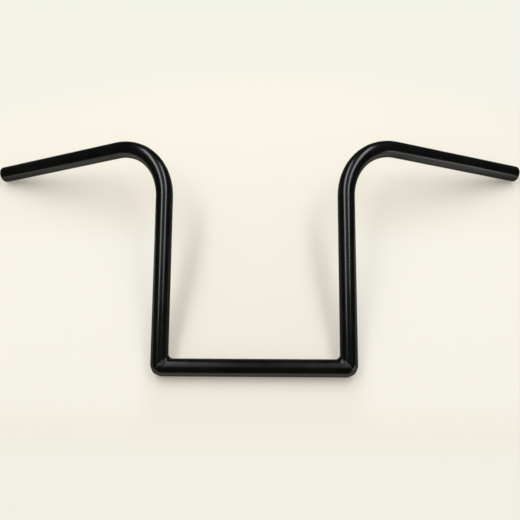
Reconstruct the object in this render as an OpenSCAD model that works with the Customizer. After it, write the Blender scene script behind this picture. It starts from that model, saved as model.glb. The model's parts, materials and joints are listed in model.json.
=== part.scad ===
// Z-bar handlebar of welded steel tube, lying as it rests on a flat floor.
// A straight clamp tube has a tall riser mitred and welded to each end. Each riser bends over into
// a grip that leans back and falls a little towards its open end. The bar lies on its clamp tube
// and on the two grip ends, so the risers slope up from the clamp tube to the bends.
// X runs along the clamp tube, Y points from it to the bends, Z is up, and the origin is the
// centre of the clamp tube.

/* [Tube] */
// Outside diameter of the tube
tube_od = 25.4; // [22:0.1:32]
// Thickness of the tube's wall
tube_wall = 3; // [2:0.1:4]
// Chamfer that takes the burr off both edges of an open end
end_chamfer = 0.6; // [0.2:0.1:1]

/* [Shape] */
// Distance between the centre lines of the two risers
riser_spacing = 270; // [180:1:340]
// Height of the bends' highest centre point over the centre line of the clamp tube
rise = 334; // [180:1:450]
// Radius of the bend's centre line
bend_radius = 84; // [60:1:110]
// Angle by which each grip is pulled back out of the plane of the risers
pull_back = 21.77; // [5:0.01:35]
// Angle by which each grip falls towards its end
droop = 3.106; // [0:0.001:10]
// Length of the straight part of each grip
grip_length = 232; // [150:1:280]

/* [Welded corner] */
// Outside radius of the dressed corner between clamp tube and riser
corner_radius = 18; // [17:0.5:24]
// Width of the dressed weld seam along the mitre
weld_width = 6; // [4:0.5:8]
// Height of the weld seam over the tubes
weld_height = 0.4; // [0.2:0.1:0.8]
// Length of the weld fillet along each tube, in the notch at the inside of the corner
fillet_leg = 4.2; // [2:0.1:6]
// Radius of the fillet's round face, seen across the corner
fillet_radius = 10.5; // [9:0.1:12]

/* [Hidden] */
$fn = 96;

r_out = tube_od / 2;
r_in = r_out - tube_wall;
// Radius of the corner's centre line, measured from the point that the corner turns about
r_turn = corner_radius - r_out;
half_spacing = riser_spacing / 2;
// How far the bend is swept past the start of the grip, before it is cut off there
bend_overrun = 10;
// Length of the straight rods that the weld's shapes are cut out with
rod_length = 2 * tube_od;
// How far a cutting shape runs past what it cuts
margin = 1;

// Where the open end of a grip lies, seen along the plane of its bend and up from the clamp tube
bend_angle = 90 + droop;
tip_reach = bend_radius * (1 + sin(droop)) + grip_length * cos(droop);
tip_rise = rise - bend_radius + bend_radius * cos(droop) - grip_length * sin(droop);

// The slope of the risers over the floor, at which the lowest edge of each open end and the
// underside of the clamp tube touch one level floor
tip_back = tip_reach * sin(pull_back);
first_slope = atan2(tip_back, tip_rise);
rest_slope = slope_from(slope_from(first_slope));

function grip_fall(slope) = cos(droop) * sin(pull_back) * cos(slope) + sin(droop) * sin(slope);

function slope_from(slope) =
    let (
        fall = grip_fall(slope),
        under_tip = r_out * sqrt(1 - fall * fall) - end_chamfer * fall
    )
    first_slope - asin((r_out - under_tip) / norm([tip_back, tip_rise]));

steel_black = [0.07, 0.07, 0.075];
weld_black = [0.1, 0.1, 0.105];

// Lays the upright bar down on the floor
module laid_down() {
    rotate([rest_slope - 90, 0, 0])
        children();
}

// Puts a shape made for the left end on either end
module at_end(side) {
    mirror([side > 0 ? 1 : 0, 0, 0])
        children();
}

// Quarter turn of the corner: it turns about the Y axis, from straight down a riser on the left
// to straight along the clamp tube below
module corner_turn(r) {
    rotate([90, 0, 0])
        rotate([0, 0, 180])
            rotate_extrude(angle = 90)
                intersection() {
                    translate([r_turn, 0])
                        circle(r = r);
                    translate([0, -r])
                        square([r_turn + r, 2 * r]);
                }
}

module at_corner() {
    translate([r_turn - half_spacing, 0, r_turn])
        children();
}

// Clamp tube with the quarter turns at both ends, as a solid rod of the given radius
module base_run(r) {
    rotate([0, 90, 0])
        cylinder(r = r, h = riser_spacing - 2 * r_turn, center = true);
    for (side = [-1, 1])
        at_end(side)
            at_corner()
                corner_turn(r);
}

// Left riser, bend and grip, as a solid rod of the given radius that runs on past the open end
module riser_run(r, past_end) {
    at_corner()
        corner_turn(r);
    translate([-half_spacing, 0, r_turn])
        cylinder(r = r, h = rise - bend_radius - r_turn);
    at_bend() {
        bend(r);
        at_grip()
            cylinder(r = r, h = grip_length + past_end);
    }
}

// The centre that the left bend turns about, with X pointing back at the riser
module at_bend() {
    translate([-half_spacing, 0, rise - bend_radius])
        rotate([0, 0, -pull_back])
            translate([-bend_radius, 0, 0])
                children();
}

// The start of the grip, with Z pointing along it to its open end
module at_grip() {
    rotate([0, -droop, 0])
        translate([0, 0, bend_radius])
            rotate([0, -90, 0])
                children();
}

// The bend turns a little too far, and is cut square in the plane where the grip starts
module bend(r) {
    difference() {
        rotate([90, 0, 0])
            rotate_extrude(angle = bend_angle + bend_overrun)
                translate([bend_radius, 0])
                    circle(r = r);
        at_grip()
            translate([-2 * r, -2 * r, 0])
                cube([4 * r, 4 * r, bend_radius]);
    }
}

// What is on the clamp tube's side of both mitre planes
module inside_mitres() {
    reach = half_spacing + 3 * r_out;
    rotate([90, 0, 0])
        linear_extrude(height = 4 * r_out, center = true)
            polygon([
                [-reach, half_spacing - reach],
                [reach, half_spacing - reach],
                [0, half_spacing]
            ]);
}

// Ring that is cut away to chamfer both edges of an open end
module end_chamfers() {
    c = end_chamfer;
    rotate_extrude()
        polygon([
            [r_out - c, 0],
            [r_out + c, -2 * c],
            [r_out + 2 * c, c],
            [r_out - c, c]
        ]);
    translate([0, 0, -c])
        cylinder(r1 = r_in, r2 = r_in + c, h = c);
}

// Both tubes as solid rods that meet in the corner, as far as the weld reaches.
// The shapes of the weld are made about the point that the corner turns about.
module corner_rods(r) {
    corner_turn(r);
    translate([-r_turn, 0, 0])
        cylinder(r = r, h = rod_length);
    translate([0, 0, -r_turn])
        rotate([0, 90, 0])
            cylinder(r = r, h = rod_length);
}

// Turns a shape so that X crosses the mitre plane and Z points to the inside of the corner
module at_mitre() {
    rotate([0, 45, 0])
        children();
}

// The dressed seam that runs all the way round the corner, before the tubes are taken out of it
module seam_band() {
    intersection() {
        corner_rods(r_out + weld_height);
        at_mitre()
            cube([weld_width, 4 * r_out, 8 * r_out], center = true);
    }
}

// The fillet in the notch at the inside of the corner: its round face follows the seam and runs
// out beside it
module notch_fillet() {
    notch = sqrt(2) * (r_out - r_turn);
    high = fillet_leg / sqrt(2);
    at_mitre()
        translate([0, 0, notch + high - fillet_radius])
            intersection() {
                rotate([0, 90, 0])
                    cylinder(r = fillet_radius, h = 2 * fillet_leg, center = true);
                translate([-fillet_leg, -fillet_radius, -margin])
                    cube([2 * fillet_leg, 2 * fillet_radius, fillet_radius + 2 * margin]);
            }
}

module left_end_weld() {
    at_corner()
        difference() {
            union() {
                seam_band();
                notch_fillet();
            }
            corner_rods(r_out);
        }
}

module left_end_riser() {
    difference() {
        riser_run(r_out, 0);
        riser_run(r_in, margin);
        inside_mitres();
        at_bend()
            at_grip()
                translate([0, 0, grip_length])
                    end_chamfers();
    }
}

module base_tube() {
    color(steel_black)
        laid_down()
            difference() {
                intersection() {
                    base_run(r_out);
                    inside_mitres();
                }
                base_run(r_in);
            }
}

module left_riser() {
    color(steel_black)
        laid_down()
            left_end_riser();
}

module right_riser() {
    color(steel_black)
        laid_down()
            at_end(1)
                left_end_riser();
}

module left_weld() {
    color(weld_black)
        laid_down()
            left_end_weld();
}

module right_weld() {
    color(weld_black)
        laid_down()
            at_end(1)
                left_end_weld();
}

base_tube();
left_riser();
right_riser();
left_weld();
right_weld();
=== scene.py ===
"""Z-bar handlebar of welded steel tube under a gloss-black coat, on a pale floor in soft light."""

import json
import math

import bpy
from mathutils import Matrix, Vector


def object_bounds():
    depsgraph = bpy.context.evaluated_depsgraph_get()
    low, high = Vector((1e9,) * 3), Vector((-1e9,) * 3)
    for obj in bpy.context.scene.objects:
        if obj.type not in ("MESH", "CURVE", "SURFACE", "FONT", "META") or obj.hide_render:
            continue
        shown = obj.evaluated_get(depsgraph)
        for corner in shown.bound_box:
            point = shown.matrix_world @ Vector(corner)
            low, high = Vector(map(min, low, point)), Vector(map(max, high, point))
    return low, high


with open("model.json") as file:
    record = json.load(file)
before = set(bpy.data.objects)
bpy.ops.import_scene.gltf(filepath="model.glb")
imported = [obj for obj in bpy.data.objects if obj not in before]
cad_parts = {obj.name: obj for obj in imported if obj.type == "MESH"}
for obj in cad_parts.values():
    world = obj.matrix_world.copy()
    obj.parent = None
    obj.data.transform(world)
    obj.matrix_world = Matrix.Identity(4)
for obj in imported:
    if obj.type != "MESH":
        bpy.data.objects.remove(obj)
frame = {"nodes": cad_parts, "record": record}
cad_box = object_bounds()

# Lengths and places are in metres, in the CAD's frame. Both ends of the bar are alike, so the
# materials take X without its sign.
MM_PER_METRE = 1000.0

# The shape as the CAD has it. BORE_EDGE is a radius between the bore and the outside of the tube,
# and BORE_DEPTH a depth that is still in the straight part of the grip.
HALF_SPACING = 0.135
REST_SLOPE = math.radians(20.10068)
WELD_HALF_WIDTH = 0.003
BORE_EDGE = 0.0112
BORE_DEPTH = 0.2

# The coat: two shades of black between which it hazes, and its orange peel
COAT_BLACK = (0.0020, 0.0020, 0.0021)
COAT_HAZE = (0.0042, 0.0041, 0.0040)
COAT_GLOSS = (0.16, 0.22)
HAZE_SCALE = 38.0
PEEL_SCALE = 420.0
PEEL_HEIGHT = 0.000012

# How far the coat reaches into an open end, over what depth it thins out there, and how far its
# edge wanders
COAT_REACH = 0.009
COAT_FADE = 0.003
COAT_WANDER = 0.005

# Bare steel inside the open ends
STEEL_COLOUR = (0.21, 0.205, 0.20)
STAIN_COLOUR = (0.12, 0.085, 0.06)
STAIN_METALLIC = 0.3
STEEL_DULLNESS = 0.3

# Weld ripples: how many radians of ripple per radian round the corner, how far the crescents bow
# and wander, and the heights of the ripples and of the bead's crown
RIPPLES = 34.0
RIPPLE_BOW = 2.4
RIPPLE_WANDER = 0.6
RIPPLE_HEIGHT = 0.00012
CROWN_HEIGHT = 0.0005

# The camera, found from the photograph
PHOTO_PIXELS = 520
FOCAL_PIXELS = 600.0
SENSOR_MM = 36.0
CAMERA_AIM = Vector((0.0062, 0.1825, -0.0127))
CAMERA_DISTANCE = 0.9517
CAMERA_AZIMUTH = math.radians(-2.721)
CAMERA_ELEVATION = math.radians(60.85)
CAMERA_ROLL = math.radians(-2.266)

# The world: its level for diffuse rays, and what little of it the gloss mirrors
FILL_LEVEL = 0.42
MIRRORED_LEVEL = 0.04

# The floor's own colour, and the painted light that it fades into for the camera: a glow near the
# bar and a brighter one beside it, which thin the cast shadows there, and far from it the backdrop
FLOOR_COLOUR = (0.828, 0.794, 0.712)
PAINTED_NEAR_LIGHT = (0.930, 0.865, 0.745)
PAINTED_SIDE_LIGHT = (0.955, 0.925, 0.850)
BACKDROP_COLOUR = (0.896, 0.888, 0.815)
NEAR_SHARE = 0.28
SIDE_SHARE = 0.62
FRONT_SHARE = 0.85
FLOOR_HALF = 8.0
FLOOR_CENTRE = (0.0, 0.17, 0.0)
FLOOR_STRETCH = (1.0, 1.8, 0.0)

# Painted shade in the floor's reflection: how bright the gloss mirrors the floor between the risers
# and behind the bar, and far away
MIRRORED_BETWEEN = 0.25
MIRRORED_FAR = 0.10


class Graph:
    """Short calls that add the nodes of one material."""

    def __init__(self, tree):
        self.tree = tree
        self.nodes = tree.nodes

    def put(self, socket, value):
        if hasattr(value, "is_linked"):
            self.tree.links.new(value, socket)
        else:
            socket.default_value = value

    def source(self, kind, output):
        return self.nodes.new(kind).outputs[output]

    def math(self, operation, a, b=0.0):
        node = self.nodes.new("ShaderNodeMath")
        node.operation = operation
        self.put(node.inputs[0], a)
        self.put(node.inputs[1], b)
        return node.outputs[0]

    def add(self, a, b):
        return self.math("ADD", a, b)

    def times(self, a, b):
        return self.math("MULTIPLY", a, b)

    def larger(self, a, b):
        return self.math("MAXIMUM", a, b)

    def vector(self, operation, a, b=(0.0, 0.0, 0.0)):
        node = self.nodes.new("ShaderNodeVectorMath")
        node.operation = operation
        self.put(node.inputs[0], a)
        self.put(node.inputs[1], b)
        return node.outputs["Value" if operation in ("LENGTH", "DOT_PRODUCT") else "Vector"]

    def split(self, place):
        node = self.nodes.new("ShaderNodeSeparateXYZ")
        self.put(node.inputs[0], place)
        return node.outputs["X"], node.outputs["Y"], node.outputs["Z"]

    def join(self, *parts):
        node = self.nodes.new("ShaderNodeCombineXYZ")
        for socket, part in zip(node.inputs, parts):
            self.put(socket, part)
        return node.outputs[0]

    def noise(self, place, scale, detail=2.0, roughness=0.5):
        node = self.nodes.new("ShaderNodeTexNoise")
        self.put(node.inputs["Vector"], place)
        node.inputs["Scale"].default_value = scale
        node.inputs["Detail"].default_value = detail
        node.inputs["Roughness"].default_value = roughness
        return node.outputs["Fac"]

    def remap(self, value, from_low, from_high, to_low=0.0, to_high=1.0, smooth=False):
        node = self.nodes.new("ShaderNodeMapRange")
        node.interpolation_type = "SMOOTHSTEP" if smooth else "LINEAR"
        self.put(node.inputs["Value"], value)
        node.inputs["From Min"].default_value = from_low
        node.inputs["From Max"].default_value = from_high
        node.inputs["To Min"].default_value = to_low
        node.inputs["To Max"].default_value = to_high
        return node.outputs["Result"]

    def rise(self, value, low, high):
        """From 0 at the low value, smoothly, to 1 at the high value."""
        return self.remap(value, low, high, smooth=True)

    def fall(self, value, low, high, start=1.0, end=0.0):
        """From the start level at the low value, smoothly, to the end level at the high value."""
        return self.remap(value, low, high, start, end, smooth=True)

    def mix_colour(self, share, a, b):
        node = self.nodes.new("ShaderNodeMix")
        node.data_type = "RGBA"
        self.put(node.inputs["Factor"], share)
        self.put(node.inputs["A"], (*a, 1.0) if isinstance(a, tuple) else a)
        self.put(node.inputs["B"], (*b, 1.0) if isinstance(b, tuple) else b)
        return node.outputs["Result"]

    def bump(self, height, distance, normal=None):
        node = self.nodes.new("ShaderNodeBump")
        node.inputs["Strength"].default_value = 1.0
        node.inputs["Distance"].default_value = distance
        self.put(node.inputs["Height"], height)
        if normal is not None:
            self.put(node.inputs["Normal"], normal)
        return node.outputs["Normal"]


def new_material(name):
    """An empty node material: the material, its graph and its surface socket."""
    material = bpy.data.materials.new(name)
    material.use_nodes = True
    tree = material.node_tree
    tree.nodes.clear()
    output = tree.nodes.new("ShaderNodeOutputMaterial")
    return material, Graph(tree), output.inputs["Surface"]


def coat_shader(g, surface):
    """The gloss-black coat: near-black, with a faint haze in its colour and roughness."""
    place = g.source("ShaderNodeTexCoord", "Object")
    shader = g.nodes.new("ShaderNodeBsdfPrincipled")
    shader.inputs["IOR"].default_value = 1.5
    shader.inputs["Specular IOR Level"].default_value = 0.5
    g.put(surface, shader.outputs["BSDF"])
    haze = g.noise(place, HAZE_SCALE, 3.0, 0.55)
    colour = g.mix_colour(g.remap(haze, 0.35, 0.7), COAT_BLACK, COAT_HAZE)
    roughness = g.remap(haze, 0.3, 0.75, *COAT_GLOSS)
    return place, shader.inputs, colour, roughness


def orange_peel(g, place):
    """The slight waviness of a sprayed coat."""
    return g.bump(g.noise(place, PEEL_SCALE, 1.0, 0.4), PEEL_HEIGHT)


def open_end():
    """The centre of the right grip's open end and the direction out of it, from the grip's mount."""
    mount = next(m for m in frame["record"]["mounts"] if m["name"] == "right_bar_end")
    out = Vector(mount["axis"])
    half_length = mount["dims"]["length_mm"] / 2 / MM_PER_METRE
    return Vector(mount["pos_m"]) + out * half_length, out


def bare_share(g, place):
    """How much of the coat is gone: all of it deep inside an open end, with a ragged edge."""
    end, out = open_end()
    x, y, z = g.split(place)
    from_end = g.vector("SUBTRACT", g.join(g.math("ABSOLUTE", x), y, z), end)
    off_axis = g.vector("LENGTH", g.vector("CROSS_PRODUCT", from_end, out))
    depth = g.times(g.vector("DOT_PRODUCT", from_end, out), -1.0)
    in_bore = g.math("LESS_THAN", off_axis, BORE_EDGE)
    in_grip = g.math("LESS_THAN", depth, BORE_DEPTH)
    edge = g.remap(g.noise(place, 260.0, 3.0), 0.2, 0.8, -COAT_WANDER, COAT_WANDER)
    past_coat = g.rise(g.add(depth, edge), COAT_REACH - COAT_FADE, COAT_REACH + COAT_FADE)
    return g.times(g.times(in_bore, in_grip), past_coat)


def tube_material(name):
    """Coated tube: inside the open ends the coat thins out to bare, dull steel."""
    material, g, surface = new_material(name)
    place, inputs, colour, roughness = coat_shader(g, surface)
    bare = bare_share(g, place)
    stain = g.remap(g.noise(place, 150.0, 4.0, 0.6), 0.4, 0.7)
    steel = g.mix_colour(stain, STEEL_COLOUR, STAIN_COLOUR)
    metallic = g.remap(stain, 0.0, 1.0, 1.0, STAIN_METALLIC)
    g.put(inputs["Base Color"], g.mix_colour(bare, colour, steel))
    g.put(inputs["Metallic"], g.times(bare, metallic))
    g.put(inputs["Roughness"], g.add(roughness, g.times(bare, STEEL_DULLNESS)))
    g.put(inputs["Normal"], orange_peel(g, place))
    return material


def weld_material(name):
    """Coated weld: a low crown with crescent ripples, which the coat has softened."""
    material, g, surface = new_material(name)
    place, inputs, colour, roughness = coat_shader(g, surface)
    g.put(inputs["Base Color"], colour)
    g.put(inputs["Roughness"], roughness)

    # Where a point lies, seen square to the risers: inwards from the riser's centre line, up it,
    # and out of the plane of the two risers
    x, y, z = g.split(place)
    inside = g.math("SUBTRACT", HALF_SPACING, g.math("ABSOLUTE", x))
    height = g.vector("DOT_PRODUCT", place, (0.0, math.cos(REST_SLOPE), math.sin(REST_SLOPE)))
    front = g.vector("DOT_PRODUCT", place, (0.0, math.sin(REST_SLOPE), -math.cos(REST_SLOPE)))

    # Across the seam, from -1 at one edge to 1 at the other, and the angle round it
    per_half = math.sqrt(0.5) / WELD_HALF_WIDTH
    across = g.times(g.math("SUBTRACT", inside, height), per_half)
    angle = g.math("ARCTAN2", front, g.add(inside, height))
    bow = g.times(across, across)

    wander = g.remap(g.noise(place, 90.0), 0.3, 0.7, -RIPPLE_WANDER, RIPPLE_WANDER)
    phase = g.add(g.add(g.times(angle, RIPPLES), g.times(bow, RIPPLE_BOW)), wander)
    ripples = g.times(g.math("COSINE", phase), g.times(g.fall(bow, 0.35, 1.0), 0.5))
    crown = g.bump(g.math("SUBTRACT", 1.0, bow), CROWN_HEIGHT, orange_peel(g, place))
    g.put(inputs["Normal"], g.bump(ripples, RIPPLE_HEIGHT, crown))
    return material


def give_material(material, *node_names):
    """Puts one material on every slot of some CAD nodes' objects."""
    for node_name in node_names:
        for slot in frame["nodes"][node_name].material_slots:
            slot.material = material


def add_camera():
    forward = Vector((
        math.cos(CAMERA_ELEVATION) * math.sin(CAMERA_AZIMUTH),
        math.cos(CAMERA_ELEVATION) * math.cos(CAMERA_AZIMUTH),
        -math.sin(CAMERA_ELEVATION),
    ))
    level_right = forward.cross(Vector((0.0, 0.0, 1.0))).normalized()
    level_up = level_right.cross(forward)
    right = level_right * math.cos(CAMERA_ROLL) + level_up * math.sin(CAMERA_ROLL)
    up = right.cross(forward)
    data = bpy.data.cameras.new("photo_camera")
    data.sensor_width = SENSOR_MM
    data.lens = FOCAL_PIXELS / PHOTO_PIXELS * SENSOR_MM
    camera = bpy.data.objects.new("photo_camera", data)
    turn = Matrix((right, up, -forward)).transposed()
    place = CAMERA_AIM - forward * CAMERA_DISTANCE
    camera.matrix_world = Matrix.Translation(place) @ turn.to_4x4()
    bpy.context.scene.collection.objects.link(camera)
    bpy.context.scene.camera = camera


def add_softbox(name, shape, centre, across, along, radiance, upright=False):
    """An area light that faces the bar; its length runs along Y, or up. A radiance of 1 is white."""
    data = bpy.data.lights.new(name, "AREA")
    data.shape = shape
    data.size = across
    data.size_y = along
    share = math.pi / 4 if shape == "ELLIPSE" else 1.0
    data.energy = radiance * math.pi * across * along * share
    lamp = bpy.data.objects.new(name, data)
    lamp.visible_camera = False
    length = Vector((0.0, 0.0, 1.0)) if upright else Vector((0.0, 1.0, 0.0))
    back = Vector(centre) - length * length.dot(centre)
    back.normalize()
    turn = Matrix((length.cross(back), length, back)).transposed()
    lamp.matrix_world = Matrix.Translation(centre) @ turn.to_4x4()
    bpy.context.scene.collection.objects.link(lamp)


def add_lights():
    """Two long strips draw the lines on the risers, and the weaker boxes fill in between."""
    add_softbox("left_strip", "ELLIPSE", (-0.90, 1.15, 1.95), 0.60, 3.4, 5.6)
    add_softbox("right_strip", "ELLIPSE", (0.92, 1.25, 1.95), 0.60, 3.3, 5.2)
    add_softbox("overhead", "RECTANGLE", (0.0, 0.80, 2.05), 1.3, 2.3, 0.09)
    add_softbox("left_panel", "RECTANGLE", (-0.40, 0.80, 2.0), 0.5, 2.3, 0.4)
    add_softbox("right_panel", "RECTANGLE", (0.40, 0.80, 2.0), 0.5, 2.3, 0.3)
    add_softbox("right_card", "RECTANGLE", (1.02, -0.46, 0.12), 0.50, 0.26, 2.4, upright=True)


def add_world():
    """A pale backdrop, which the gloss mirrors only dimly, so that the coat stays black."""
    world = bpy.data.worlds.new("studio")
    bpy.context.scene.world = world
    world.use_nodes = True
    tree = world.node_tree
    tree.nodes.clear()
    g = Graph(tree)
    output = tree.nodes.new("ShaderNodeOutputWorld")
    path = tree.nodes.new("ShaderNodeLightPath").outputs
    seen = g.larger(path["Is Camera Ray"], path["Is Transmission Ray"])
    fill = g.times(path["Is Diffuse Ray"], FILL_LEVEL)
    mirrored = g.times(path["Is Glossy Ray"], MIRRORED_LEVEL)
    background = tree.nodes.new("ShaderNodeBackground")
    background.inputs["Color"].default_value = (*BACKDROP_COLOUR, 1.0)
    g.put(background.inputs["Strength"], g.larger(g.larger(seen, fill), mirrored))
    g.put(output.inputs["Surface"], background.outputs[0])


def mirrored_share(g, place):
    """How bright the gloss mirrors each place of the floor, a painted shade: most at the front and
    outer sides.
    """
    x, y, z = g.split(place)
    outer = g.rise(g.math("ABSOLUTE", x), 0.20, 0.34)
    near = g.fall(y, 0.22, 0.34)
    front = g.fall(y, -0.06, 0.0)
    bright = g.larger(g.times(outer, near), front)
    card = g.fall(g.vector("LENGTH", place), 0.55, 0.95, 1.0, MIRRORED_FAR)
    return g.times(g.remap(bright, 0.0, 1.0, MIRRORED_BETWEEN, 1.0), card)


def painted_floor_light(g, place):
    """The painted light that the camera sees mixed into the floor, thinning its shadows, and its
    share, place by place.
    """
    x, y, z = g.split(place)
    around = g.vector("MULTIPLY", g.vector("SUBTRACT", place, FLOOR_CENTRE), FLOOR_STRETCH)
    far = g.rise(g.vector("LENGTH", around), 0.45, 0.90)
    beside = g.rise(g.math("ABSOLUTE", x), 0.13, 0.175)
    before_grip = g.fall(y, 0.20, 0.31)
    behind_bar = g.rise(y, -0.14, -0.03)
    side = g.times(g.times(beside, before_grip), behind_bar)
    before_bar = g.fall(y, -0.15, -0.02, FRONT_SHARE, 0.0)
    outward = g.larger(far, before_bar)
    share = g.larger(outward, g.remap(side, 0.0, 1.0, NEAR_SHARE, SIDE_SHARE))
    glow_tone = g.mix_colour(outward, g.mix_colour(side, PAINTED_NEAR_LIGHT, PAINTED_SIDE_LIGHT), BACKDROP_COLOUR)
    return glow_tone, share


def floor_material():
    material, g, surface = new_material("floor_card")
    place = g.source("ShaderNodeTexCoord", "Object")
    path = g.nodes.new("ShaderNodeLightPath").outputs
    # For glossy rays the floor's colour is dimmed place by place: painted shade in its reflection on
    # the coat
    glossy = path["Is Glossy Ray"]
    plain = g.remap(glossy, 0.0, 1.0, 1.0, 0.0)
    level = g.add(plain, g.times(glossy, mirrored_share(g, place)))
    diffuse = g.nodes.new("ShaderNodeBsdfDiffuse")
    g.put(diffuse.inputs["Color"], g.mix_colour(level, (0.0, 0.0, 0.0), FLOOR_COLOUR))

    # For the camera a glow is mixed in: painted light that thins the floor's cast shadows
    glow_tone, share = painted_floor_light(g, place)
    glow = g.nodes.new("ShaderNodeEmission")
    glow.inputs["Strength"].default_value = 1.0
    g.put(glow.inputs["Color"], glow_tone)
    mix = g.nodes.new("ShaderNodeMixShader")
    g.put(mix.inputs[0], g.times(share, path["Is Camera Ray"]))
    g.put(mix.inputs[1], diffuse.outputs[0])
    g.put(mix.inputs[2], glow.outputs[0])
    g.put(surface, mix.outputs[0])
    return material


def add_floor():
    """A pale floor that fades into the backdrop, with painted light for the camera and painted shade
    in the gloss.
    """
    level = cad_box[0][2]
    corners = [(-1, -1), (1, -1), (1, 1), (-1, 1)]
    points = [(x * FLOOR_HALF, y * FLOOR_HALF, level) for x, y in corners]
    mesh = bpy.data.meshes.new("floor")
    mesh.from_pydata(points, [], [(0, 1, 2, 3)])
    mesh.materials.append(floor_material())
    floor = bpy.data.objects.new("floor", mesh)
    bpy.context.scene.collection.objects.link(floor)


give_material(tube_material("tube_coat"), "base_tube", "left_riser", "right_riser")
give_material(weld_material("weld_coat"), "left_weld", "right_weld")
add_camera()
add_lights()
add_world()
add_floor()
bpy.context.scene.view_settings.view_transform = "Standard"
